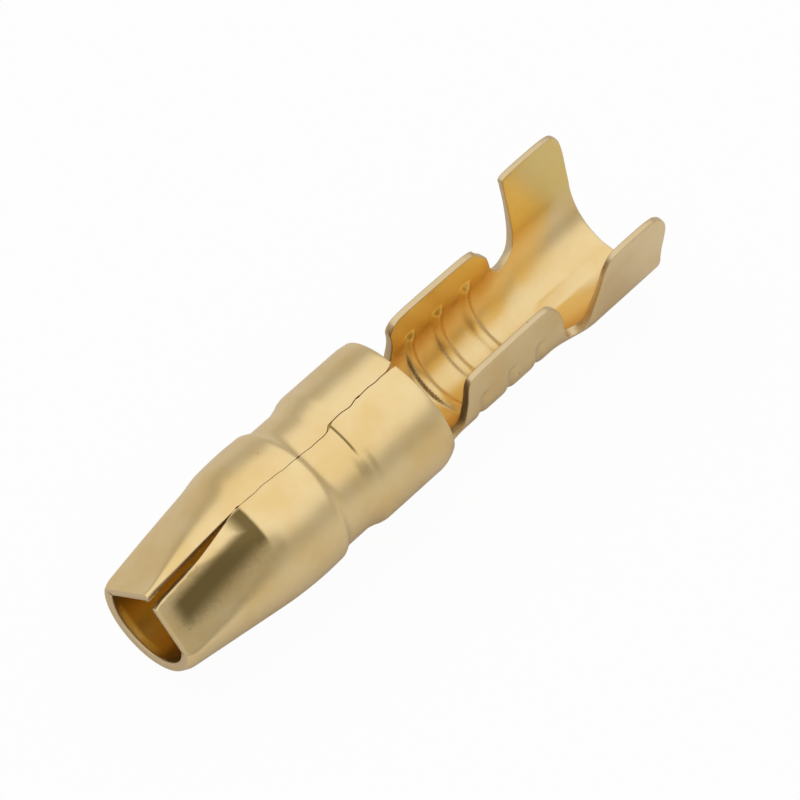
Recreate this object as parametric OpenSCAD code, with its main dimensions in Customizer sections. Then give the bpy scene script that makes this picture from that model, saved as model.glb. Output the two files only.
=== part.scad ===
/* [Sheet] */
// Thickness of the brass strip that the terminal is rolled from, mm
sheet_t = 0.25; // [0.2:0.01:0.3]
// Thickness of the crimp wings at their coined top edge, mm
wing_t = 0.17; // [0.12:0.01:0.2]
// Length of the whole terminal, tip to rear edge of the floor, mm
total_len = 17.45; // [17:0.05:19]

// Depth of the flat that the forming anvil leaves along the underside, mm
sole_d = 0.02; // [0.01:0.005:0.04]

/* [Bullet] */
// Outside diameter of the barrel, mm
barrel_d = 4; // [3.9:0.05:4.2]
// Outside diameter of the tip, mm
tip_d = 2.86; // [2.6:0.02:3.1]
// Distance from the tip to the widest line of the nose, mm
nose_x = 4.55; // [4.2:0.05:4.8]
// Distance from the widest line to the front shoulder of the snap groove, mm
crest_len = 0.5; // [0.3:0.05:0.6]
// Width of the snap groove between its shoulders, mm
groove_w = 1.72; // [1.4:0.02:2]
// Depth of the snap groove below the barrel, mm
groove_d = 0.15; // [0.08:0.01:0.2]
// Distance from the tip to the top of the barrel's rear rim, mm
rim_x = 8.88; // [8.7:0.02:9]
// How far the rear rim slants backwards from top to bottom, mm
rim_slant = 0.44; // [0.3:0.02:0.5]

/* [Folded nose flats] */
// Distance from the axis to each flat, measured at the tip, mm
flat_d = 1.06; // [1:0.01:1.2]
// Angle between the seam and the middle of each flat, degrees
flat_turn = 42.5; // [38:0.5:48]
// Distance from the tip to where the flats run out, mm
flat_len = 3.25; // [2.8:0.05:3.6]

/* [Seam] */
// Width of the closed seam along the barrel, mm
seam_gap = 0.05; // [0.03:0.01:0.1]
// Width of the open slot at the tip, mm
slot_w = 0.26; // [0.2:0.02:0.5]
// Length of the open slot, mm
slot_len = 3.1; // [2:0.1:4]
// How far the open slot drifts to one side at the tip, mm
slot_drift = 0.16; // [0:0.02:0.3]

/* [Wire crimp] */
// Outside radius of the wire crimp's round floor, mm
wire_r = 1.45; // [1.35:0.01:1.6]
// Height of the wire crimp's floor above the underside of the barrel, mm
wire_up = 0.1; // [0.06:0.01:0.2]
// How far each wire wing leans inwards, degrees
wire_lean = 3.4; // [1:0.2:6]
// Height of the wire wings above the centre of the floor's curve, mm
wire_h = 1.52; // [1.4:0.02:1.8]
// Distance from the barrel's rim to the front edge of the wire wings, mm
wire_gap = 1.25; // [1.15:0.01:1.4]
// Length of the wire wings, mm
wire_len = 3.62; // [3.4:0.02:3.8]
// Height of each pressed rib inside the wire crimp, mm
rib_h = 0.17; // [0.1:0.01:0.2]
// Depth of the groove behind each rib, mm
rib_back = 0.07; // [0.03:0.01:0.1]
// Width of a rib at its foot, mm
rib_w = 0.5; // [0.35:0.01:0.6]
// Spacing of the ribs, mm
rib_pitch = 1.05; // [0.95:0.01:1.1]
// Distance from the front edge of the wire wings to the first rib, mm
rib_lead = 0.69; // [0.6:0.01:0.8]
// Height of the ribs' ends above the centre of the floor's curve, mm
rib_up = 0.65; // [0.4:0.05:0.9]

/* [Insulation crimp] */
// Outside radius of the insulation crimp's round floor, mm
grip_r = 1.74; // [1.65:0.01:1.85]
// How far each insulation wing leans outwards, degrees
grip_lean = 3.6; // [0:0.2:8]
// Height of the insulation wings above the centre of the floor's curve, mm
grip_h = 2.64; // [2.3:0.02:2.8]
// Distance between the wire wings and the insulation wings, mm
grip_gap = 1.15; // [1:0.05:1.3]
// How far the insulation wings' front edges lean forwards, mm
grip_taper = 0.12; // [0:0.02:0.2]
// Radius of the insulation wings' rear corners, mm
grip_corner = 0.6; // [0.4:0.05:0.9]

/* [Hidden] */
$fn = 72;
far = 6;
barrel_r = barrel_d / 2;
tip_r = tip_d / 2;

// Nose and groove
tip_round = 0.3;
tip_inset = 0.06;
nose_round = 1.5;
nose_n = 5;
crest_fall = 0.015;
groove_x = nose_x + crest_len;
groove_end = groove_x + groove_w;
front_slope = 0.42;
rear_slope = 0.62;
slope_n = 6;
flat_tilt = atan((cone_r(flat_len) - flat_d) / flat_len);

// Rim, seam and neck
rim_notch = 0.16;
notch_flare = 4;
neck_start = rim_x - 0.13;
neck_end = neck_start + 1.1;
neck_cover = neck_start - 0.15;
bend_r = 0.32;
bend_x = rim_x + rim_slant + bend_r;
bend_z = -0.4 * barrel_r;

// Crimps
wire_z = wire_r + wire_up - barrel_r;
grip_z = grip_r - barrel_r;
wire_top = wire_z + wire_h;
grip_top = grip_z + grip_h;
wire_x = rim_x + wire_gap;
wire_end = wire_x + wire_len;
wire_lead_x = 0.16;
wire_lead_z = 0.32;
wire_foot = 0.3;
wire_corner = 0.5;
rib_n = 3;
rib_x = wire_x + rib_lead;
rib_root = 0.05;
grip_x = wire_end + grip_gap;
grip_lead_x = 0.3;
grip_lead_z = 0.28;
gap_r = grip_gap / 2;
gap_x = wire_end + gap_r;
gap_z = -0.22;
widen_start = wire_end + 0.05;
widen_end = grip_x - 0.12;
widen_cover = grip_x - grip_taper - 0.03;
tail_len = 0.25;
tail_h = 1.2;
tail_x = total_len - tail_len;
tail_z = -0.9;

// Points of an arc in a plane, from angle a to angle b
function arc(cx, cy, r, a, b, n) =
    [for (i = [0:n]) [cx + r * cos(a + (b - a) * i / n), cy + r * sin(a + (b - a) * i / n)]];

// Smooth step from 0 to 1
function ease(t) = t * t * (3 - 2 * t);

// Slope of the nose's cone, set so that it meets the widest line in a smooth curve
function cone_slope() = (barrel_r - tip_r - tip_inset) / (nose_x - nose_round / 2);

// Outside radius of the nose at distance x from the tip: a cone that rounds over
function cone_r(x) = let (bend = nose_x - nose_round)
    x < bend ? tip_r + tip_inset + cone_slope() * x
             : barrel_r - cone_slope() / (2 * nose_round) * pow(nose_x - x, 2);

// The outside line of the nose and the snap groove as [radius, distance] pairs
function outline() = concat(
    [[tip_r, 0], [cone_r(tip_round / 2) - tip_inset / 3, tip_round / 2],
     [cone_r(tip_round), tip_round]],
    [for (i = [0:nose_n]) let (x = nose_x - nose_round * (1 - i / nose_n)) [cone_r(x), x]],
    [for (i = [0:slope_n]) [barrel_r - crest_fall - (groove_d - crest_fall) * ease(i / slope_n),
                            groove_x + front_slope * i / slope_n]],
    [for (i = [0:slope_n]) [barrel_r - groove_d * (1 - ease(i / slope_n)),
                            groove_end - rear_slope * (1 - i / slope_n)]]);

// The round bullet as a solid along X, shrunk inwards by "inset"
module bullet_fill(inset) {
    front = inset > 0 ? far : 0;
    rotate([0, 90, 0])
        rotate_extrude()
            polygon(concat(
                [[0, -front], [tip_r - inset, -front]],
                [for (p = outline()) [p[0] - inset, p[1]]],
                [[barrel_r - inset, wire_x], [0, wire_x]]));
}

// Everything outside the two flats that the nose is folded to
module outside_flats(inset) {
    for (side = [-1, 1])
        rotate([-side * flat_turn, 0, 0])
            translate([0, 0, flat_d])
                rotate([0, -flat_tilt, 0])
                    translate([-far / 2, -far / 2, -inset])
                        cube([far * 1.5, far, far]);
}

// A cone that touches two balls, the first at x0, z0 and the second at x1, z1
module cone_over(x0, z0, r0, x1, z1, r1, before, after) {
    span = norm([x1 - x0, z1 - z0]);
    grow = (r1 - r0) / span;
    wide = cos(asin(grow));
    translate([x0, 0, z0])
        rotate([0, 90 - atan2(z1 - z0, x1 - x0), 0])
            translate([0, 0, -before])
                cylinder(h = before + span + after,
                         r1 = (r0 - before * grow) / wide,
                         r2 = (r1 + after * grow) / wide);
}

// The space between two planes across X
module between(x0, x1) {
    translate([x0, -far, -far])
        cube([x1 - x0, 2 * far, 2 * far]);
}

// The bullet with its flats, narrowing at the rear into the neck
module bullet(inset) {
    intersection() {
        difference() {
            bullet_fill(inset);
            outside_flats(inset);
        }
        union() {
            between(-2 * far, neck_cover);
            cone_over(neck_start, 0, barrel_r - inset, neck_end, wire_z, wire_r - inset, barrel_r, wire_r / 2);
        }
    }
}

// A filled U in the YZ plane: round floor, and sides that lean outwards by "lean"
module u_fill(r, lean, h) {
    circle(r);
    polygon([[r * cos(lean), -r * sin(lean)],
             [r * cos(lean) + h * sin(lean), -r * sin(lean) + h * cos(lean)],
             [-r * cos(lean) - h * sin(lean), -r * sin(lean) + h * cos(lean)],
             [-r * cos(lean), -r * sin(lean)]]);
}

// A straight length of filled U: the outside at inset 0, the hollow at inset sheet_t.
// The hollow leans out a little more, because the wings thin towards their top edges
module crimp(x0, x1, r, z, lean, h, inset) {
    thinning = inset > 0 ? atan((sheet_t - wing_t) / h) : 0;
    over = inset > 0 ? 1 : 0;
    translate([x0, 0, z])
        rotate([90, 0, 90])
            linear_extrude(x1 - x0)
                u_fill(r - inset, lean + thinning, h + over);
}

// The wire crimp's U, from inside the neck to the middle of the gap behind its wings
module wire_crimp(inset) {
    crimp((neck_start + neck_end) / 2 + 0.15, gap_x, wire_r, wire_z, -wire_lean, wire_h, inset);
}

// The insulation crimp's U and the strip in front that widens into it
module insulation_crimp(inset) {
    rear = inset > 0 ? far : 0;
    intersection() {
        crimp(wire_end - wire_corner, total_len + rear, grip_r, grip_z, grip_lean, grip_h, inset);
        union() {
            between(widen_cover, total_len + far);
            cone_over(widen_start, wire_z, wire_r - inset, widen_end, grip_z, grip_r - inset, wire_corner, gap_r);
        }
    }
}

// The whole rolled strip as a solid, before it is hollowed
module rolled(inset) {
    bullet(inset);
    wire_crimp(inset);
    insulation_crimp(inset);
}

// What the anvil flattens: everything below the level that the terminal lies on
module below_sole() {
    translate([-far, -far, sole_d - barrel_r - far])
        cube([total_len + 2 * far, 2 * far, far]);
}

// The line where the strip's two edges meet, opening to a slot at the tip and a notch at the rim
module seam() {
    half = seam_gap / 2;
    notch_x = rim_x - rim_notch;
    flare = half + notch_flare * rim_notch;
    linear_extrude(far)
        polygon([[-far, slot_w / 2 - slot_drift], [0, slot_w / 2 - slot_drift],
                 [slot_len, half], [notch_x, half], [notch_x + 1, flare],
                 [notch_x + 1, -flare], [notch_x, -half], [slot_len, -half],
                 [0, -slot_w / 2 - slot_drift], [-far, -slot_w / 2 - slot_drift]]);
}

// A band with sloping sides bent to the wire crimp's U: radii r0 to r1, foot width w
module u_band(r0, r1, w, top_w) {
    translate([0, 0, wire_z]) {
        rotate([0, 90, 0])
            rotate([0, 0, -90 - wire_lean])
                rotate_extrude(angle = 180 + 2 * wire_lean)
                    polygon([[r0, -w / 2], [r1, -top_w / 2], [r1, top_w / 2], [r0, w / 2]]);
        for (side = [0, 1])
            mirror([0, side, 0])
                rotate([wire_lean, 0, 0])
                    linear_extrude(rib_up)
                        polygon([[-w / 2, r0], [-top_w / 2, r1], [top_w / 2, r1], [w / 2, r0]]);
    }
}

// The ribs that are pressed up inside the wire crimp
module ribs() {
    for (i = [0:rib_n - 1])
        translate([rib_x + rib_pitch * i, 0, 0])
            u_band(wire_r - sheet_t + rib_root, wire_r - sheet_t - rib_h, rib_w + 2 * rib_root, rib_w / 2);
}

// The shallow grooves that pressing the ribs leaves on the outside
module rib_grooves() {
    for (i = [0:rib_n - 1])
        translate([rib_x + rib_pitch * i, 0, 0])
            u_band(wire_r + rib_root, wire_r - rib_back, rib_w + 2 * rib_root, rib_w / 2);
}

// The upper edge of the strip seen from the side, from the rim to the rear edge
function skyline() = concat(
    [[rim_x, far], [rim_x, barrel_r], [rim_x + rim_slant, bend_z]],
    arc(bend_x, bend_z, bend_r, 180, 360, 10),
    [[wire_x, bend_z + wire_foot], [wire_x, wire_top - wire_lead_z],
     [wire_x + wire_lead_x, wire_top], [wire_x + wire_lead_x, far],
     [wire_end - wire_corner, far]],
    arc(wire_end - wire_corner, wire_top - wire_corner, wire_corner, 90, 0, 8),
    arc(gap_x, gap_z, gap_r, 180, 360, 16),
    [[grip_x - grip_taper, grip_top - grip_lead_z],
     [grip_x - grip_taper + grip_lead_x, grip_top],
     [grip_x - grip_taper + grip_lead_x, far], [tail_x - grip_corner, far]],
    arc(tail_x - grip_corner, grip_top - grip_corner, grip_corner, 90, 0, 10),
    [[tail_x, tail_z + tail_h], [total_len, tail_z], [total_len + 1, tail_z],
     [total_len + 1, far]]);

// The space above the strip's edge
module above_skyline() {
    translate([0, far, 0])
        rotate([90, 0, 0])
            linear_extrude(2 * far)
                polygon(skyline());
}

module bullet_terminal() {
    color([0.83, 0.69, 0.42])
        translate([-total_len / 2, 0, barrel_r - sole_d])
            difference() {
                union() {
                    difference() {
                        rolled(0);
                        rolled(sheet_t);
                        seam();
                        rib_grooves();
                        below_sole();
                    }
                    ribs();
                }
                above_skyline();
            }
}

bullet_terminal();
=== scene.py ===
import math

import bpy
import numpy as np
from bpy.props import FloatProperty, FloatVectorProperty, IntProperty, PointerProperty
from mathutils import Matrix, Vector
from mathutils.geometry import delaunay_2d_cdt


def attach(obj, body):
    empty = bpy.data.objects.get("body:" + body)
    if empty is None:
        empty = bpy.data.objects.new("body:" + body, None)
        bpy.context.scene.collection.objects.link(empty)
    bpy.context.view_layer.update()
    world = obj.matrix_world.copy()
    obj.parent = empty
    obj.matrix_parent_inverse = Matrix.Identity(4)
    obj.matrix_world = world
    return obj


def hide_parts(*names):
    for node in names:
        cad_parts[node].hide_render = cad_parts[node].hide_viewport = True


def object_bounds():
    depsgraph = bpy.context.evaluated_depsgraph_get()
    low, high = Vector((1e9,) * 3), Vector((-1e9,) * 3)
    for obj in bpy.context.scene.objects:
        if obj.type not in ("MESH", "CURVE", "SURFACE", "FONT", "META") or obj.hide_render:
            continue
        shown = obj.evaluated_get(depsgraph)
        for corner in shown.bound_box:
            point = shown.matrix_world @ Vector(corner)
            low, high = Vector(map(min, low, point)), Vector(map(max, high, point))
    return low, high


bl_info = {
    "name": "Bullet Crimp Terminal",
    "version": (1, 0, 0),
    "blender": (4, 5, 0),
    "location": "3D View > Sidebar > Terminal",
    "description": "Rolls a brass bullet terminal from its flat blank, presses its ribs and sets it on a pale table",
    "category": "Add Mesh",
}

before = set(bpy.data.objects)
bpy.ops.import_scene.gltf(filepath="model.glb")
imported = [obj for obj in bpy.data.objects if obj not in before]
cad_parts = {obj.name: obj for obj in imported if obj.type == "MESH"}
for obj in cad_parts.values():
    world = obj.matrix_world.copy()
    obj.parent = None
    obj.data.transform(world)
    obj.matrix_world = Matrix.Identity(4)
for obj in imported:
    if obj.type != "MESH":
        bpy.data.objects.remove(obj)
CAD_LOW, CAD_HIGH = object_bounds()

NODE = "bullet_terminal"
BODY = "root"
MM = 0.001
CAD_LENGTH = (CAD_HIGH.x - CAD_LOW.x) / MM
LEFT, RIGHT = 1, -1

# ---------------------------------------------------------------- places on the strip, in mm

# along the bullet, from the tip
NOSE_CURVE = 1.5  # the nose's cone rounds over in this length
MOUTH_DRAW, MOUTH_LEN = 0.06, 0.3  # the mouth is drawn in by this much over this length
LIP_DRAW, LIP_LEN = 0.02, 0.12  # and its very lip once more
BODY_DRAW, BODY_LEN = 0.012, 0.5  # the body behind the nose is this much slimmer
GROOVE_FRONT, GROOVE_FALL = 5.05, 0.42
GROOVE_BACK, GROOVE_RISE = 6.15, 0.66
BARREL_START = 6.3
HOOPS, HOOP_DEPTH, HOOP_WIDTH = (5.3, 6.5), 0.014, 0.05  # fine rings that the die left at both ends of the groove
RIM_START, RIM_LEN, RIM_DRAW = 8.72, 0.3, 0.03
RIM = 8.85  # the seam ends here and the strip begins to open

# the two flats pressed on the nose: side, where each ends, and how much softer its fold gets per mm
FLATS = ((LEFT, 3.25, 0.07), (RIGHT, 3.18, 0.03))
FOLD_SOFT = 0.02
FLAT_FADE_BEFORE, FLAT_FADE = 0.2, 0.6

# the crease at the barrel's front, on the right of the seam
CREASE, CREASE_DEPTH, CREASE_WIDTH = 6.46, 0.035, 0.045
CREASE_FAR, CREASE_FAR_FADE = 1.25, 0.4
CREASE_NEAR, CREASE_NEAR_FADE = 0.1, 0.2

# the open part
NECK_LEN = 1.25
WIDEN_START, WIDEN_LEN = 13.45, 1.45
WIRE_LIFT = 0.1  # the wire crimp's floor lies this much above the barrel's underside
WIRE_LEAN, GRIP_LEAN = math.radians(3.4), math.radians(-3.6)  # walls past upright; less than 0 is splayed
COIN_START, COIN_LEN, COIN_REACH = 9.8, 0.6, 2.2  # the wings get thinner from here on
STRIP_END = 17.45

# the slot's two edges and the seam: (place along, distance from the middle line)
SLOT_END = 3.1
SLOT_EDGE = {LEFT: ((0.0, -0.09), (1.0, -0.085), (2.2, -0.06), (3.1, -0.045)),
             RIGHT: ((0.0, -0.53), (1.0, -0.42), (2.2, -0.22), (3.1, -0.055))}
SEAM_MIDDLE = ((3.1, -0.05), (3.6, -0.10), (5.15, -0.17), (5.3, -0.14), (6.3, -0.13), (6.5, -0.05), (7.2, -0.07),
               (7.4, -0.03), (8.1, -0.04), (8.9, 0.0))
SEAM_HALF = ((3.1, 0.014), (3.7, 0.004), (5.3, 0.004), (6.5, 0.009), (8.5, 0.009), (8.9, 0.07))
SEAM_NICKS = ((3.16, 0.022, 0.05), (5.24, 0.016, 0.05), (6.42, 0.035, 0.07), (7.5, 0.015, 0.04))  # place, depth, width
SEAM_WAVES = ((5.0, 0.012), (13.0, 0.006))  # turns per mm, height
WAVE_START, WAVE_LEN = 3.0, 0.6
SEAM_TIGHT, SEAM_EDGE = (2.7, 8.75), 0.01  # where the edges touch, and how much they are rounded there

# the blank's mesh, in shares of its spacing
RING_SPACING, ROW_SPACING, RING_CLEAR = 0.6, 0.87, 0.6
CORNER_CUT = 0.22
EDGE_STEPS = 3
HALVINGS = 40
BULLET_PAST, WING_REACH = 0.35, 2.2  # how far to search for the edge: past the rim, and radius of the widest roll

# the painted dark reflection on a nose flat, the painted shade line in the barrel's crease and the amber inner faces,
# in the row's own frame: each limit is where it is 0, then where it is full
REFLECTION_ALONG = ((-8.62, -8.1), (-5.48, -5.62))
REFLECTION_ACROSS = ((-0.32, -0.62), (-1.38, -0.82))
REFLECTION_START, REFLECTION_SLANT = 8.7, 0.02
REFLECTION_HEAD_ALONG = ((-6.3, -5.75), (-5.48, -5.6))
REFLECTION_HEAD_ACROSS = ((-0.03, -0.16), (-1.35, -0.95))
REFLECTION_UP = (2.4, 2.7)
# painted shade: place, half width, side and height limits of the dark line painted in the barrel's crease
CREASE_SHADE_PLACE, CREASE_SHADE_HALF = 2.27, (0.05, 0.015)
CREASE_SHADE_ACROSS = ((0.0, -0.08), (-1.1, -0.8))
CREASE_SHADE_UP = (2.6, 3.0)
HIDDEN_ALONG, HIDDEN_REACH = (1.2, 0.4), (1.9, 3.0)

# the stage, in metres
TABLE_HALF = 0.6
TABLE_COLOUR = (0.66, 0.65, 0.64, 1.0)
TABLE_WHITE = 0.96  # share of plain white that the camera sees on the table
LAMP_PLACE, LAMP_SIZE = (-0.10, 0.22, 0.42), 0.50
SENSOR = 36.0
CLIP = (0.005, 5.0)
SKY_RISE, SKY_LOW = (0.38, 0.52), 0.5  # the sky is full above this height and dimmer below it
DARK_WAY, DARK_EDGE, DARK_SHARE = (-0.05, -0.865, 0.50), (0.955, 0.99), 0.6  # one darker panel
WHITE = (1.0, 1.0, 1.0, 1.0)


# ---------------------------------------------------------------- sizes and finishes

class TerminalSizes(bpy.types.PropertyGroup):
    """Sizes of the rolled terminal, in millimetres"""
    sheet: FloatProperty(name="Sheet", description="Thickness of the brass strip, mm", default=0.25, min=0.1, max=0.5)
    wing_edge: FloatProperty(name="Wing edge", description="Thickness of the wings at their coined edge, mm",
                             default=0.17, min=0.08, max=0.4)
    barrel: FloatProperty(name="Barrel", description="Outside radius of the barrel, mm", default=2.0, min=1, max=4)
    tip: FloatProperty(name="Tip", description="Outside radius of the tip, mm", default=1.43, min=0.8, max=3)
    nose: FloatProperty(name="Nose", description="Distance from the tip to the widest line of the nose, mm",
                        default=4.55, min=3, max=6)
    groove: FloatProperty(name="Groove", description="Depth of the snap groove, mm", default=0.15, min=0, max=0.3)
    flat: FloatProperty(name="Flat", description="Distance from the axis to a nose flat at the tip, mm",
                        default=1.06, min=0.6, max=2)
    flat_turn: FloatProperty(name="Flat turn", description="Angle between the seam and a nose flat's middle",
                             default=math.radians(42.5), subtype="ANGLE")
    sole: FloatProperty(name="Sole", description="Depth of the flat under the barrel, mm", default=0.02)
    wire_floor: FloatProperty(name="Wire floor", description="Outside radius of the wire crimp's floor, mm",
                              default=1.45, min=1, max=3)
    grip_floor: FloatProperty(name="Grip floor", description="Outside radius of the insulation crimp's floor, mm",
                              default=1.74, min=1, max=3)
    edge: FloatProperty(name="Edge", description="Rounding of the sheared edges, mm", default=0.035, min=0.005, max=0.1)
    mesh: FloatProperty(name="Mesh", description="Spacing of the points on the blank, mm", default=0.078, min=0.05,
                        max=0.5)


class RibSizes(bpy.types.PropertyGroup):
    """Sizes of the ribs pressed into the wire crimp"""
    count: IntProperty(name="Count", description="Number of ribs", default=3, min=0, max=8)
    first: FloatProperty(name="First", description="Distance from the tip to the first rib, mm", default=10.82)
    pitch: FloatProperty(name="Pitch", description="Spacing of the ribs, mm", default=1.05, min=0.5)
    width: FloatProperty(name="Width", description="Width of a rib at its foot, mm", default=0.44, min=0.1)
    height: FloatProperty(name="Height", description="Height of a rib inside, mm", default=0.11, min=0)
    back: FloatProperty(name="Back", description="Depth of the groove behind a rib, mm", default=0.06, min=0)
    reach: FloatProperty(name="Reach", description="Length of a rib from the middle of the floor to its end, mm",
                         default=2.85, min=0.5)


class BrassFinish(bpy.types.PropertyGroup):
    """Colours of the brass"""
    light: FloatVectorProperty(name="Light", description="Colour of the polished brass", subtype="COLOR",
                               default=(0.87, 0.67, 0.35), min=0, max=1)
    deep: FloatVectorProperty(name="Deep", description="Colour of the brass where it is drawn and duller",
                              subtype="COLOR", default=(0.83, 0.60, 0.27), min=0, max=1)
    cut: FloatVectorProperty(name="Cut", description="Colour of the sheared edges", subtype="COLOR",
                             default=(0.70, 0.55, 0.34), min=0, max=1)
    amber: FloatVectorProperty(name="Amber", description="Colour of the unpolished brass inside the rolled parts",
                               subtype="COLOR", default=(0.86, 0.64, 0.14), min=0, max=1)
    # painted reflection and shade: this colour is painted for the dark reflection on one nose flat and the shade line
    # in the barrel's crease, and is also the colour of the pits
    pits_and_painted_dark: FloatVectorProperty(name="Stain", description="Colour of the die mark on one nose flat", subtype="COLOR",
                               default=(0.16, 0.11, 0.035), min=0, max=1)
    roughness: FloatProperty(name="Roughness", description="Roughness of the satin brass", default=0.3, min=0, max=1)


class StageSizes(bpy.types.PropertyGroup):
    """Camera and light"""
    swing: FloatProperty(name="Swing", description="Turn of the camera across the terminal", subtype="ANGLE",
                         default=0.43899)
    lean: FloatProperty(name="Lean", description="Lean of the camera towards the terminal's side", subtype="ANGLE",
                        default=0.40302)
    roll: FloatProperty(name="Roll", description="Roll of the camera about its own line of sight", subtype="ANGLE",
                        default=0.72587)
    distance: FloatProperty(name="Distance", description="Distance from the camera to its aim, mm", default=119.93)
    aim: FloatProperty(name="Aim", description="Distance from the tip to the point aimed at, mm", default=9.0)
    lens: FloatProperty(name="Lens", description="Focal length on a 36 mm sensor, mm", default=214.5)
    shift_x: FloatProperty(name="Shift X", description="Sideways shift of the lens", default=0.00584)
    shift_y: FloatProperty(name="Shift Y", description="Upward shift of the lens", default=0.00563)
    sky: FloatProperty(name="Sky", description="Strength of the soft light all round", default=1.0, min=0)
    lamp: FloatProperty(name="Lamp", description="Power of the large soft lamp", unit="POWER", default=0.5, min=0)


# ---------------------------------------------------------------- the rolled form

def ease(t):
    """Smooth step from 0 to 1."""
    t = np.clip(t, 0.0, 1.0)
    return t * t * (3.0 - 2.0 * t)


def soft_max(value, reach):
    """A value where it is positive, with a soft bend at zero."""
    return 0.5 * (value + np.sqrt(value * value + reach * reach))


def rise(along, start, length):
    """Smooth step from 0 to 1 that begins at a place and takes a length."""
    return ease((along - start) / length)


def ridge(along, place, width):
    """A rounded ridge, 1 high at its place."""
    return np.exp(-((along - place) / width) ** 2)


def follow(along, points):
    """The value of a line of (place, value) points at a place."""
    return np.interp(along, *zip(*points))


class Roll:
    """Where a point of the flat blank lies once it is rolled: along from the tip, reach from the floor's middle."""

    def __init__(self, sizes):
        self.s = sizes

    def radius(self, along):
        """Outside radius of the bullet: a cone that rounds over, then the snap groove and the barrel."""
        s = self.s
        bend = s.nose - NOSE_CURVE
        start = s.tip + MOUTH_DRAW
        slope = (s.barrel - start) / (s.nose - NOSE_CURVE / 2)
        cone = start + slope * along
        over = s.barrel - slope / (2 * NOSE_CURVE) * (s.nose - along) ** 2
        nose = np.where(along < bend, cone, over)
        nose = nose - MOUTH_DRAW * (1 - ease(along / MOUTH_LEN)) - LIP_DRAW * (1 - ease(along / LIP_LEN))
        body = (s.barrel - BODY_DRAW * rise(along, s.nose, BODY_LEN)
                - (s.groove - BODY_DRAW) * (rise(along, GROOVE_FRONT, GROOVE_FALL)
                                            - rise(along, GROOVE_BACK, GROOVE_RISE))
                + BODY_DRAW * rise(along, BARREL_START, BODY_LEN))
        hoop = HOOP_DEPTH * sum(ridge(along, place, HOOP_WIDTH) for place in HOOPS)
        rim = RIM_DRAW * rise(along, RIM_START, RIM_LEN)
        return np.where(along < s.nose, nose, body) - hoop - rim

    def bullet(self, along, reach):
        """Side and height of the closed tube, with the two flats pressed on its nose."""
        s = self.s
        radius = self.radius(along)
        angle = reach / s.barrel
        side, up = radius * np.sin(angle), -radius * np.cos(angle)
        for hand, end, blunt in FLATS:
            out_side, out_up = hand * math.sin(s.flat_turn), math.cos(s.flat_turn)
            face = s.flat + (self.radius(np.array(end)) - s.flat) * along / end
            past = side * out_side + up * out_up - face
            past = soft_max(past, FOLD_SOFT + blunt * np.maximum(along, 0.0))
            past = past * (1 - ease((along - end + FLAT_FADE_BEFORE) / FLAT_FADE))
            past = np.where(hand * reach > 0, past, 0.0)
            side, up = side - past * out_side, up - past * out_up
        return side, up

    def trough(self, reach, radius, centre, lean):
        """A round floor whose walls go on straight; lean is how far they turn past upright."""
        size, hand = np.abs(reach), np.sign(reach)
        end = radius * (math.pi / 2 + lean)
        angle = np.minimum(size, end) / radius
        straight = np.maximum(size - end, 0.0)
        side = radius * np.sin(angle) + straight * math.cos(math.pi / 2 + lean)
        up = centre - radius * np.cos(angle) + straight * math.sin(math.pi / 2 + lean)
        return hand * side, up

    def place(self, along, reach):
        """The rolled strip's outside face."""
        s = self.s
        neck = rise(along, RIM, NECK_LEN)
        widen = rise(along, WIDEN_START, WIDEN_LEN)
        side, up = self.bullet(along, reach)
        wire = self.trough(reach, s.wire_floor, s.wire_floor + WIRE_LIFT - s.barrel, WIRE_LEAN)
        grip = self.trough(reach, s.grip_floor, s.grip_floor - s.barrel, GRIP_LEAN)
        side = (side * (1 - neck) + wire[0] * neck) * (1 - widen) + grip[0] * widen
        up = (up * (1 - neck) + wire[1] * neck) * (1 - widen) + grip[1] * widen
        crease = CREASE_DEPTH * ridge(along, CREASE, CREASE_WIDTH)
        crease = crease * ease((side + CREASE_FAR) / CREASE_FAR_FADE) * ease((CREASE_NEAR - side) / CREASE_NEAR_FADE)
        up = np.maximum(up - crease * (up > 0), s.sole - s.barrel)
        return np.stack([along, side, up], -1)

    def inward(self, along, reach):
        """Unit vector into the sheet, across its thickness."""
        step = 0.004
        d_along = self.place(along + step, reach) - self.place(along - step, reach)
        d_reach = self.place(along, reach + step) - self.place(along, reach - step)
        normal = np.cross(d_along, d_reach)
        return normal / np.linalg.norm(normal, axis=-1, keepdims=True)

    def thickness(self, along, reach):
        """Thickness of the strip, which the die has thinned towards the wings' edges."""
        s = self.s
        thin = rise(along, COIN_START, COIN_LEN) * rise(np.abs(reach), COIN_REACH, COIN_REACH)
        return s.sheet - (s.sheet - s.wing_edge) * thin

    def reach_at(self, along, up, hand):
        """How far from the floor's middle the strip is at a height above the axis."""
        longest = self.s.barrel if along < RIM + BULLET_PAST else WING_REACH
        low, high = 0.0, math.pi * longest
        for _ in range(HALVINGS):
            middle = (low + high) / 2
            if self.place(np.array([along]), np.array([hand * middle]))[0, 2] < up:
                low = middle
            else:
                high = middle
        return hand * (low + high) / 2


# ---------------------------------------------------------------- the flat blank

def seam_line(along, hand):
    """How far the strip's two edges lie from the middle line: an open slot that closes, then a wandering seam."""
    half = follow(along, SEAM_HALF)
    nick = sum(depth * ridge(along, place, width) for place, depth, width in SEAM_NICKS)
    wave = sum(height * np.sin(along * turns) for turns, height in SEAM_WAVES)
    seam = follow(along, SEAM_MIDDLE) + hand * (half + nick) + wave * rise(along, WAVE_START, WAVE_LEN)
    return np.where(along < SLOT_END, follow(along, SLOT_EDGE[hand]), seam)


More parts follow.
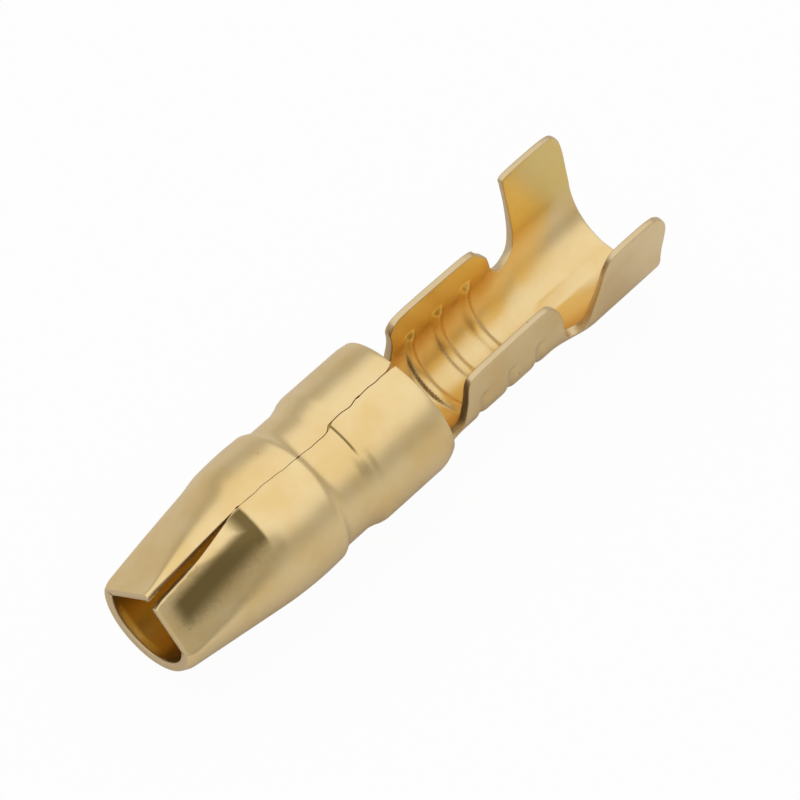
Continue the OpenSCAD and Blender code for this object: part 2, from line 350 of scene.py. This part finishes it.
# the open part's edge on each side: (place along, height above the barrel's axis), from the rim to the rear
OUTLINE = {
    RIGHT: [
        (8.90, 1.75), (8.98, 1.25), (9.10, 0.40), (9.22, -0.20), (9.33, -0.75), (9.46, -1.05),
        (9.66, -1.14), (9.90, -1.00), (10.04, -0.70), (10.11, -0.35), (10.19, 0.16), (10.19, 0.78), (10.30, 1.13),
        (11.6, 1.17), (13.12, 1.20), (13.38, 1.02), (13.68, 0.52), (13.80, -0.20), (13.88, -0.62), (14.10, -0.92),
        (14.34, -0.86), (14.52, -0.45), (14.60, 0.10), (14.70, 1.05), (14.72, 1.66), (14.86, 2.06), (15.12, 2.24),
        (16.50, 2.22), (16.90, 1.86), (17.15, 1.35), (17.20, 0.80), (17.20, 0.10), (17.30, -0.60), (17.42, -1.20)],
    LEFT: [
        (8.90, 1.75), (8.98, 1.25), (9.10, 0.40), (9.22, -0.20), (9.35, -0.75), (9.48, -1.05),
        (9.70, -1.13), (9.98, -0.98), (10.14, -0.60), (10.18, -0.10), (10.15, 0.30), (10.02, 0.84), (10.27, 1.19),
        (11.6, 1.20), (13.18, 1.16), (13.42, 0.76), (13.70, 0.42), (13.88, -0.10), (14.02, -0.60), (14.26, -0.94),
        (14.58, -1.02), (14.92, -0.94), (15.10, -0.72), (15.14, -0.30), (15.00, 0.90), (14.80, 1.95), (14.72, 2.16),
        (15.02, 2.25), (16.60, 2.25), (16.94, 1.90), (17.14, 1.20), (17.24, 0.50), (17.36, -0.30), (17.43, -1.00)],
}


def rounded(points, rounds=2):
    """Cuts the corners of an open line, so that each becomes a small arc."""
    points = np.array(points, float)
    for _ in range(rounds):
        first, last = points[:1], points[-1:]
        a = points[:-1] * (1 - CORNER_CUT) + points[1:] * CORNER_CUT
        b = points[:-1] * CORNER_CUT + points[1:] * (1 - CORNER_CUT)
        points = np.concatenate([first, np.stack([a, b], 1).reshape(-1, 2), last])
    return points


def evenly(points, spacing):
    """The same line with points at even spacing."""
    length = np.concatenate([[0.0], np.cumsum(np.linalg.norm(np.diff(points, axis=0), axis=1))])
    count = max(2, int(round(length[-1] / spacing)) + 1)
    marks = np.linspace(0.0, length[-1], count)
    return np.stack([np.interp(marks, length, points[:, i]) for i in (0, 1)], -1)


def half_blank(roll, hand, spacing):
    """One side's edge on the flat blank, from the tip along the seam, round both wings and to the rear."""
    seam = np.linspace(0.0, RIM, int(RIM / spacing))
    turn = math.pi - hand * seam_line(seam, hand) / roll.radius(seam)
    edge = np.stack([seam, hand * turn * roll.s.barrel], -1)
    line = [(x, roll.reach_at(x, z, hand)) for x, z in OUTLINE[hand]]
    line = rounded([tuple(edge[-1])] + line + [(STRIP_END, 0.0)])
    return evenly(np.concatenate([edge[:-1], line]), spacing)


def blank_outline(roll, spacing):
    """The closed outline of the flat blank, anticlockwise with along to the right and reach upwards."""
    left = half_blank(roll, LEFT, spacing)
    right = half_blank(roll, RIGHT, spacing)
    tip = evenly(np.array([left[0], right[0]]), spacing)
    ring = np.concatenate([tip[:-1], right[:-1], left[::-1][:-1]])
    area = 0.5 * np.sum(ring[:, 0] * np.roll(ring[:, 1], -1) - np.roll(ring[:, 0], -1) * ring[:, 1])
    return ring if area > 0 else ring[::-1]


def outward(ring):
    """Unit vectors that point out of a closed anticlockwise line, at its points."""
    ahead = np.roll(ring, -1, 0) - np.roll(ring, 1, 0)
    ahead /= np.linalg.norm(ahead, axis=1, keepdims=True)
    return np.stack([ahead[:, 1], -ahead[:, 0]], -1)


def inside(points, ring):
    """Which points lie inside a closed line."""
    found = np.zeros(len(points), bool)
    ends = np.roll(ring, -1, 0)
    for (x0, y0), (x1, y1) in zip(ring, ends):
        crosses = (y0 > points[:, 1]) != (y1 > points[:, 1])
        if y1 != y0:
            at = x0 + (points[:, 1] - y0) * (x1 - x0) / (y1 - y0)
            found ^= crosses & (points[:, 0] < at)
    return found


def far_from(points, ring, least):
    """Which points keep a distance from all points of a line."""
    kept = np.ones(len(points), bool)
    for x, y in ring:
        kept &= (points[:, 0] - x) ** 2 + (points[:, 1] - y) ** 2 > least * least
    return kept


def blank_mesh(ring, spacing):
    """Points and triangles that fill the outline; the ring's points come first, in order."""
    low, high = ring.min(0), ring.max(0)
    across = np.arange(low[0], high[0], spacing)
    upward = np.arange(low[1], high[1], spacing * ROW_SPACING)
    grid = np.array([(x + (spacing / 2 if i % 2 else 0.0), y) for i, y in enumerate(upward) for x in across])
    grid = grid[inside(grid, ring)]
    grid = grid[far_from(grid, ring, spacing * RING_CLEAR)]
    points = [Vector(p) for p in np.concatenate([ring, grid])]
    loop = list(range(len(ring)))
    verts, _, faces, origin, _, _ = delaunay_2d_cdt(points, [], [loop], 1, 1e-7)
    flat = np.array([tuple(v) for v in verts])
    order = {}
    for index, olds in enumerate(origin):
        for old in olds:
            order[old] = index
    around = [order[i] for i in loop]
    on_ring = set(around)
    rest = [i for i in range(len(flat)) if i not in on_ring]
    new = {old: i for i, old in enumerate(around + rest)}
    flat = flat[around + rest]
    triangles = [[new[i] for i in face] for face in faces if len(face) == 3]
    made = []
    for a, b, c in triangles:
        turn = np.cross(flat[b] - flat[a], flat[c] - flat[a])
        made.append((a, b, c) if turn > 0 else (a, c, b))
    return flat, made


def rolled_mesh(roll, sizes):
    """Vertices, faces and per-point facts of the rolled strip with its thickness and its rounded edges."""
    outer_ring = blank_outline(roll, sizes.mesh * RING_SPACING)
    on_top = np.abs(outer_ring[:, 1]) > 0.9 * math.pi * sizes.barrel
    closed = on_top & (outer_ring[:, 0] > SEAM_TIGHT[0]) & (outer_ring[:, 0] < SEAM_TIGHT[1])
    edge = np.where(closed, SEAM_EDGE, sizes.edge)
    out = outward(outer_ring) * edge[:, None]
    inner_ring = outer_ring - out
    flat, triangles = blank_mesh(inner_ring, sizes.mesh)
    count, around = len(flat), len(inner_ring)
    layers = [(flat, np.zeros(count), 0.0)]
    turns = np.linspace(0.0, math.pi / 2, EDGE_STEPS + 1)[1:]
    for t in turns:
        layers.append((inner_ring + out * math.sin(t), edge * (1 - math.cos(t)), 0.5))
    for t in turns[::-1]:
        layers.append((inner_ring + out * math.sin(t), -edge * (1 - math.cos(t)), 0.5))
    layers.append((flat, None, 1.0))
    positions, skins, inwards, reaches, alongs = [], [], [], [], []
    for points, depth, skin in layers:
        along, reach = points[:, 0], points[:, 1]
        thick = roll.thickness(along, reach)
        if depth is None:
            depth = thick
        elif depth.min() < 0:
            depth = thick + depth
        into = roll.inward(along, reach)
        positions.append(roll.place(along, reach) + into * np.broadcast_to(depth, along.shape)[:, None])
        skins.append(np.full(len(along), skin))
        inwards.append(into)
        reaches.append(np.abs(reach))
        alongs.append(along)
    starts = np.cumsum([0] + [len(p) for p in positions])
    faces = [(a, c, b) for a, b, c in triangles]
    faces += [(a + starts[-2], b + starts[-2], c + starts[-2]) for a, b, c in triangles]
    for layer in range(len(layers) - 1):
        here, there = starts[layer], starts[layer + 1]
        for i in range(around):
            j = (i + 1) % around
            faces.append((here + i, here + j, there + j, there + i))
    return (np.concatenate(positions), faces, np.concatenate(skins), np.concatenate(inwards),
            np.concatenate(reaches), np.concatenate(alongs))


def to_row(points, sizes):
    """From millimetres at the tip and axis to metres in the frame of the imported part."""
    moved = points + np.array([-CAD_LENGTH / 2, 0.0, sizes.barrel - sizes.sole])
    return moved * MM


# ---------------------------------------------------------------- node helpers

def add(tree, kind, **values):
    """A new node with its settings."""
    node = tree.nodes.new(kind)
    for name, value in values.items():
        setattr(node, name, value)
    return node


def maths(tree, operation, *inputs):
    """The output of a Math node; each input is a number or a socket."""
    node = add(tree, "ShaderNodeMath", operation=operation)
    for socket, value in zip(node.inputs, inputs):
        if isinstance(value, (int, float)):
            socket.default_value = value
        else:
            tree.links.new(value, socket)
    return node.outputs[0]


def smooth_range(tree, value, start, end, low=0.0, high=1.0):
    """A smooth step from low to high as the value goes from start to end."""
    node = add(tree, "ShaderNodeMapRange", interpolation_type="SMOOTHSTEP")
    for name, given in (("Value", value), ("From Min", start), ("From Max", end), ("To Min", low), ("To Max", high)):
        if isinstance(given, (int, float)):
            node.inputs[name].default_value = given
        else:
            tree.links.new(given, node.inputs[name])
    return node.outputs["Result"]


# ---------------------------------------------------------------- the ribs, as geometry nodes

RIB_INPUTS = (
    ("Rib Count", "NodeSocketFloat"), ("First Rib", "NodeSocketFloat"), ("Rib Pitch", "NodeSocketFloat"),
    ("Rib Width", "NodeSocketFloat"), ("Rib Height", "NodeSocketFloat"), ("Back Groove", "NodeSocketFloat"),
    ("Rib Reach", "NodeSocketFloat"), ("Material", "NodeSocketMaterial"))


def rib_tree():
    """Presses a row of ribs across the strip, from the outside inwards."""
    tree = bpy.data.node_groups.new("Press Ribs", "GeometryNodeTree")
    tree.interface.new_socket("Geometry", in_out="INPUT", socket_type="NodeSocketGeometry")
    for name, kind in RIB_INPUTS:
        tree.interface.new_socket(name, in_out="INPUT", socket_type=kind)
    tree.interface.new_socket("Geometry", in_out="OUTPUT", socket_type="NodeSocketGeometry")
    given = add(tree, "NodeGroupInput").outputs
    result = add(tree, "NodeGroupOutput")

    def fact(name, kind="FLOAT"):
        node = add(tree, "GeometryNodeInputNamedAttribute", data_type=kind)
        node.inputs["Name"].default_value = name
        return node.outputs["Attribute"]

    along, reach, skin = fact("along"), fact("reach"), fact("skin")
    steps = maths(tree, "DIVIDE", maths(tree, "SUBTRACT", along, given["First Rib"]), given["Rib Pitch"])
    last = maths(tree, "SUBTRACT", given["Rib Count"], 1.0)
    nearest = maths(tree, "MINIMUM", maths(tree, "MAXIMUM", maths(tree, "ROUND", steps), 0.0), last)
    away = maths(tree, "ABSOLUTE", maths(tree, "MULTIPLY", maths(tree, "SUBTRACT", steps, nearest), given["Rib Pitch"]))
    half = maths(tree, "MULTIPLY", given["Rib Width"], 0.5)
    crest = smooth_range(tree, away, half, maths(tree, "MULTIPLY", half, 0.22))
    end = smooth_range(tree, reach, given["Rib Reach"], maths(tree, "SUBTRACT", given["Rib Reach"], 0.22 * MM))
    height = smooth_range(tree, skin, 0.0, 1.0, given["Back Groove"], given["Rib Height"])
    push = maths(tree, "MULTIPLY", maths(tree, "MULTIPLY", crest, end), height)
    offset = add(tree, "ShaderNodeVectorMath", operation="SCALE")
    tree.links.new(fact("inward", "FLOAT_VECTOR"), offset.inputs[0])
    tree.links.new(push, offset.inputs["Scale"])
    press = add(tree, "GeometryNodeSetPosition")
    tree.links.new(given["Geometry"], press.inputs["Geometry"])
    tree.links.new(offset.outputs[0], press.inputs["Offset"])
    real = add(tree, "GeometryNodeRealizeInstances")
    tree.links.new(press.outputs[0], real.inputs[0])
    finish = add(tree, "GeometryNodeSetMaterial")
    tree.links.new(real.outputs[0], finish.inputs["Geometry"])
    tree.links.new(given["Material"], finish.inputs["Material"])
    tree.links.new(finish.outputs[0], result.inputs[0])
    return tree


def press_ribs(piece, ribs, material):
    """Runs the rib tree on a piece and leaves a plain mesh."""
    tree = rib_tree()
    modifier = piece.modifiers.new("Press Ribs", "NODES")
    modifier.node_group = tree
    values = {"Rib Count": float(ribs.count), "First Rib": ribs.first * MM, "Rib Pitch": ribs.pitch * MM,
              "Rib Width": ribs.width * MM, "Rib Height": ribs.height * MM, "Back Groove": ribs.back * MM,
              "Rib Reach": ribs.reach * MM, "Material": material}
    for item in tree.interface.items_tree:
        if item.in_out == "INPUT" and item.name in values:
            modifier[item.identifier] = values[item.name]
    ready = piece.evaluated_get(bpy.context.evaluated_depsgraph_get())
    mesh = bpy.data.meshes.new_from_object(ready)
    piece.modifiers.remove(modifier)
    piece.data = mesh


# ---------------------------------------------------------------- the brass

def brass_material(finish):
    """Satin brass: cloudy and drawn, amber on the inner faces, with pale cut edges, a painted dark reflection on one
    nose flat, a painted shade line in the crease and dark pits.
    """
    material = bpy.data.materials.new("Satin Brass")
    material.use_nodes = True
    tree = material.node_tree
    tree.nodes.clear()
    link = tree.links.new
    place = add(tree, "ShaderNodeTexCoord").outputs["Object"]
    to_mm = add(tree, "ShaderNodeMapping")
    to_mm.inputs["Scale"].default_value = (1 / MM, 1 / MM, 1 / MM)
    link(place, to_mm.inputs["Vector"])
    place = to_mm.outputs["Vector"]
    split = add(tree, "ShaderNodeSeparateXYZ")
    link(place, split.inputs[0])

    def noise(scale, detail, stretch=(1.0, 1.0, 1.0), rough=0.55):
        node = add(tree, "ShaderNodeTexNoise")
        node.inputs["Scale"].default_value = scale
        node.inputs["Detail"].default_value = detail
        node.inputs["Roughness"].default_value = rough
        drawn_out = add(tree, "ShaderNodeMapping")
        drawn_out.inputs["Scale"].default_value = stretch
        link(place, drawn_out.inputs["Vector"])
        link(drawn_out.outputs[0], node.inputs["Vector"])
        return node.outputs["Fac"]

    def window(value, first, second):
        """1 between two soft limits and 0 outside them."""
        return maths(tree, "MULTIPLY", smooth_range(tree, value, *first), smooth_range(tree, value, *second))

    def blend(amount, a, b):
        """From colour a to colour b; each is a socket or a plain colour."""
        node = add(tree, "ShaderNodeMix", data_type="RGBA")
        for socket, value in ((node.inputs[0], amount), (node.inputs[6], a), (node.inputs[7], b)):
            if isinstance(value, bpy.types.NodeSocket):
                link(value, socket)
            else:
                socket.default_value = (*value, 1.0)
        return node.outputs[2]

    cloud = smooth_range(tree, noise(0.7, 3.0), 0.35, 0.68)
    grain = noise(14.0, 4.0)
    drawn = noise(9.0, 3.0, (0.12, 1.0, 1.0))
    colour = blend(cloud, tuple(finish.light), tuple(finish.deep))

    skin = add(tree, "ShaderNodeAttribute", attribute_name="skin").outputs["Fac"]
    off_edge = maths(tree, "ABSOLUTE", maths(tree, "SUBTRACT", maths(tree, "MULTIPLY", skin, 2.0), 1.0))
    edge = maths(tree, "SUBTRACT", 1.0, off_edge)
    edge = smooth_range(tree, edge, 0.35, 0.9)
    colour = blend(maths(tree, "MULTIPLY", edge, 0.8), colour, tuple(finish.cut))

    # the inner faces of the bullet and of the wings get the deeper amber colour
    reach = maths(tree, "DIVIDE", add(tree, "ShaderNodeAttribute", attribute_name="reach").outputs["Fac"], MM)
    along, side, up = split.outputs
    hidden = maths(tree, "MAXIMUM", smooth_range(tree, along, *HIDDEN_ALONG), smooth_range(tree, reach, *HIDDEN_REACH))
    hidden = maths(tree, "MULTIPLY", hidden, smooth_range(tree, skin, 0.6, 1.0))
    colour = blend(maths(tree, "MULTIPLY", hidden, 0.6), colour, tuple(finish.amber))

    # painted reflection: a dark reflection painted on one nose flat, rougher and streaked with fine lines, widening at
    # the fold
    slant = maths(tree, "ADD", side, maths(tree, "MULTIPLY", maths(tree, "ADD", along, REFLECTION_START), REFLECTION_SLANT))
    dark_reflection = maths(tree, "MULTIPLY", window(along, *REFLECTION_ALONG), window(slant, *REFLECTION_ACROSS))
    reflection_head = maths(tree, "MULTIPLY", window(along, *REFLECTION_HEAD_ALONG), window(side, *REFLECTION_HEAD_ACROSS))
    dark_reflection = maths(tree, "MULTIPLY", maths(tree, "MAXIMUM", dark_reflection, reflection_head), smooth_range(tree, up, *REFLECTION_UP))
    hairs = maths(tree, "MINIMUM", noise(7.0, 5.0, (1.0, 0.35, 0.35), 0.8), noise(8.0, 5.0, (0.3, 1.2, 1.2), 0.8))
    reflection_streaks = maths(tree, "ADD", maths(tree, "MULTIPLY", dark_reflection, 0.42), hairs)
    reflection_streaks = maths(tree, "MULTIPLY", dark_reflection, smooth_range(tree, reflection_streaks, 0.48, 0.78))

    # painted shade: a dark line painted in the crease at the barrel's front
    bend = maths(tree, "ABSOLUTE", maths(tree, "ADD", along, CREASE_SHADE_PLACE))
    bend = maths(tree, "MULTIPLY", smooth_range(tree, bend, *CREASE_SHADE_HALF), window(side, *CREASE_SHADE_ACROSS))
    bend = maths(tree, "MULTIPLY", bend, smooth_range(tree, up, *CREASE_SHADE_UP))
    # painted reflection and shade: the dark reflection on the nose flat and the shade line in the crease, laid over the
    # colour
    painted_dark = maths(tree, "MULTIPLY", maths(tree, "ADD", dark_reflection, reflection_streaks), 0.5)
    painted_dark = maths(tree, "MAXIMUM", painted_dark, maths(tree, "MULTIPLY", bend, 0.9))
    colour = blend(maths(tree, "MULTIPLY", painted_dark, 0.95), colour, tuple(finish.pits_and_painted_dark))

    pits = smooth_range(tree, noise(4.3, 2.0), 0.775, 0.80)
    colour = blend(maths(tree, "MULTIPLY", pits, 0.5), colour, tuple(finish.pits_and_painted_dark))

    rough = maths(tree, "ADD", finish.roughness - 0.05, maths(tree, "MULTIPLY", drawn, 0.12))
    rough = maths(tree, "ADD", rough, maths(tree, "MULTIPLY", edge, 0.12))
    rough = maths(tree, "ADD", rough, maths(tree, "MULTIPLY", dark_reflection, maths(tree, "MULTIPLY", reflection_streaks, 0.15)))

    height = maths(tree, "ADD", maths(tree, "MULTIPLY", grain, 0.25), maths(tree, "MULTIPLY", drawn, 0.6))
    height = maths(tree, "ADD", height, maths(tree, "MULTIPLY", painted_dark, 0.5))
    height = maths(tree, "SUBTRACT", height, maths(tree, "MULTIPLY", pits, 2.0))
    bump = add(tree, "ShaderNodeBump")
    bump.inputs["Strength"].default_value = 0.35
    bump.inputs["Distance"].default_value = 0.006 * MM
    link(height, bump.inputs["Height"])

    shader = add(tree, "ShaderNodeBsdfPrincipled")
    shader.inputs["Metallic"].default_value = 1.0
    link(colour, shader.inputs["Base Color"])
    link(rough, shader.inputs["Roughness"])
    link(bump.outputs[0], shader.inputs["Normal"])
    output = add(tree, "ShaderNodeOutputMaterial")
    link(shader.outputs[0], output.inputs["Surface"])
    return material


# ---------------------------------------------------------------- operators

class TERMINAL_OT_roll(bpy.types.Operator):
    """Cut the blank, roll it to the bullet and the two crimps, and press the ribs"""
    bl_idname = "terminal.roll"
    bl_label = "Roll Terminal"

    def execute(self, context):
        sizes, ribs = context.scene.terminal_sizes, context.scene.terminal_ribs
        roll = Roll(sizes)
        points, faces, skin, into, reach, along = rolled_mesh(roll, sizes)
        mesh = bpy.data.meshes.new("rolled_terminal")
        mesh.from_pydata(to_row(points, sizes).tolist(), [], [tuple(int(i) for i in f) for f in faces])
        if mesh.validate():
            raise RuntimeError("the rolled mesh has faulty faces")
        for name, kind, values in (("skin", "FLOAT", skin), ("reach", "FLOAT", reach * MM),
                                   ("along", "FLOAT", along * MM)):
            mesh.attributes.new(name, kind, "POINT").data.foreach_set("value", values.astype(np.float32))
        mesh.attributes.new("inward", "FLOAT_VECTOR", "POINT").data.foreach_set(
            "vector", into.astype(np.float32).ravel())
        mesh.shade_smooth()
        piece = bpy.data.objects.new("rolled_terminal", mesh)
        context.scene.collection.objects.link(piece)
        material = brass_material(context.scene.terminal_finish)
        mesh.materials.append(material)
        press_ribs(piece, ribs, material)
        piece.data.shade_smooth()
        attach(piece, BODY)
        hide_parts(NODE)
        return {"FINISHED"}


def camera_axes(stage):
    """Right, up and back of the camera, from its swing, lean and roll."""
    swing_s, swing_c = math.sin(stage.swing), math.cos(stage.swing)
    lean_s, lean_c = math.sin(stage.lean), math.cos(stage.lean)
    back = Vector((-swing_s, -swing_c * lean_s, swing_c * lean_c))
    first = Vector((swing_c, -swing_s * lean_s, swing_s * lean_c))
    second = Vector((0.0, -lean_c, -lean_s))
    right = first * math.cos(stage.roll) + second * math.sin(stage.roll)
    up = first * math.sin(stage.roll) - second * math.cos(stage.roll)
    return right, up, back


class TERMINAL_OT_stage(bpy.types.Operator):
    """Set the table, the soft light and the camera"""
    bl_idname = "terminal.stage"
    bl_label = "Set Stage"

    def execute(self, context):
        scene, stage, sizes = context.scene, context.scene.terminal_stage, context.scene.terminal_sizes
        scene.view_settings.view_transform = "Standard"
        self.table(scene)
        self.sky(scene, stage)
        self.lamp(scene, stage)
        right, up, back = camera_axes(stage)
        aim = Vector(((stage.aim - CAD_LENGTH / 2) * MM, 0.0, (sizes.barrel - sizes.sole) * MM))
        data = bpy.data.cameras.new("Camera")
        data.sensor_width = SENSOR
        data.lens = stage.lens
        data.shift_x, data.shift_y = stage.shift_x, stage.shift_y
        data.clip_start, data.clip_end = CLIP
        camera = bpy.data.objects.new("Camera", data)
        scene.collection.objects.link(camera)
        turn = Matrix((right, up, back)).transposed().to_4x4()
        camera.matrix_world = Matrix.Translation(aim + back * stage.distance * MM) @ turn
        scene.camera = camera
        return {"FINISHED"}

    def table(self, scene):
        """A pale matt table that looks almost plain white from the camera."""
        mesh = bpy.data.meshes.new("table")
        half = TABLE_HALF
        mesh.from_pydata([(-half, -half, 0), (half, -half, 0), (half, half, 0), (-half, half, 0)], [], [(0, 1, 2, 3)])
        floor = bpy.data.objects.new("table", mesh)
        scene.collection.objects.link(floor)
        material = bpy.data.materials.new("White Table")
        material.use_nodes = True
        tree = material.node_tree
        tree.nodes.clear()
        matt = add(tree, "ShaderNodeBsdfDiffuse")
        matt.inputs["Color"].default_value = TABLE_COLOUR
        white = add(tree, "ShaderNodeEmission")
        white.inputs["Color"].default_value = WHITE
        path = add(tree, "ShaderNodeLightPath")
        share = maths(tree, "MULTIPLY", path.outputs["Is Camera Ray"], TABLE_WHITE)
        mix = add(tree, "ShaderNodeMixShader")
        tree.links.new(share, mix.inputs[0])
        tree.links.new(matt.outputs[0], mix.inputs[1])
        tree.links.new(white.outputs[0], mix.inputs[2])
        tree.links.new(mix.outputs[0], add(tree, "ShaderNodeOutputMaterial").inputs["Surface"])
        mesh.materials.append(material)

    def sky(self, scene, stage):
        """Soft light all round, dimmer low down and in one panel, and plain white to the camera."""
        world = bpy.data.worlds.new("Soft Room")
        scene.world = world
        world.use_nodes = True
        tree = world.node_tree
        tree.nodes.clear()
        link = tree.links.new
        way = add(tree, "ShaderNodeTexCoord").outputs["Generated"]

        split = add(tree, "ShaderNodeSeparateXYZ")
        link(way, split.inputs[0])
        level = smooth_range(tree, split.outputs[2], *SKY_RISE, SKY_LOW, 1.0)
        facing = add(tree, "ShaderNodeVectorMath", operation="DOT_PRODUCT")
        facing.inputs[1].default_value = Vector(DARK_WAY).normalized()
        link(way, facing.inputs[0])
        dark = maths(tree, "MULTIPLY", smooth_range(tree, facing.outputs["Value"], *DARK_EDGE), DARK_SHARE)
        level = maths(tree, "MULTIPLY", level, maths(tree, "SUBTRACT", 1.0, dark))
        level = maths(tree, "MULTIPLY", level, stage.sky)
        path = add(tree, "ShaderNodeLightPath")
        seen = path.outputs["Is Camera Ray"]
        level = maths(tree, "ADD", maths(tree, "MULTIPLY", level, maths(tree, "SUBTRACT", 1.0, seen)), seen)
        back = add(tree, "ShaderNodeBackground")
        back.inputs["Color"].default_value = WHITE
        link(level, back.inputs["Strength"])
        link(back.outputs[0], add(tree, "ShaderNodeOutputWorld").inputs["Surface"])

    def lamp(self, scene, stage):
        """One large soft lamp, kept out of the brass's reflections."""
        data = bpy.data.lights.new("Key Lamp", "AREA")
        data.shape = "DISK"
        data.size = LAMP_SIZE
        data.energy = stage.lamp
        lamp = bpy.data.objects.new("Key Lamp", data)
        scene.collection.objects.link(lamp)
        lamp.location = LAMP_PLACE
        lamp.visible_glossy = False
        lamp.rotation_euler = (-Vector(LAMP_PLACE)).to_track_quat("-Z", "Y").to_euler()


class TERMINAL_PT_panel(bpy.types.Panel):
    """Lists the terminal's sizes, ribs, brass and stage, with the buttons that build them"""
    bl_idname = "TERMINAL_PT_panel"
    bl_label = "Bullet Crimp Terminal"
    bl_space_type = "VIEW_3D"
    bl_region_type = "UI"
    bl_category = "Terminal"

    def draw(self, context):
        layout, scene = self.layout, context.scene
        for title, group, operator in (
                ("Terminal", scene.terminal_sizes, TERMINAL_OT_roll.bl_idname),
                ("Ribs", scene.terminal_ribs, None), ("Brass", scene.terminal_finish, None),
                ("Stage", scene.terminal_stage, TERMINAL_OT_stage.bl_idname)):
            box = layout.box()
            box.label(text=title)
            for name in group.__annotations__:
                box.prop(group, name)
            if operator:
                box.operator(operator)


CLASSES = (TerminalSizes, RibSizes, BrassFinish, StageSizes, TERMINAL_OT_roll, TERMINAL_OT_stage, TERMINAL_PT_panel)
GROUPS = {"terminal_sizes": TerminalSizes, "terminal_ribs": RibSizes, "terminal_finish": BrassFinish,
          "terminal_stage": StageSizes}


def register():
    for cls in CLASSES:
        bpy.utils.register_class(cls)
    for name, group in GROUPS.items():
        setattr(bpy.types.Scene, name, PointerProperty(type=group))


def unregister():
    for name in GROUPS:
        delattr(bpy.types.Scene, name)
    for cls in reversed(CLASSES):
        bpy.utils.unregister_class(cls)


def main():
    """Builds the terminal and its stage."""
    register()
    bpy.ops.terminal.roll()
    bpy.ops.terminal.stage()


if __name__ == "__main__":
    main()
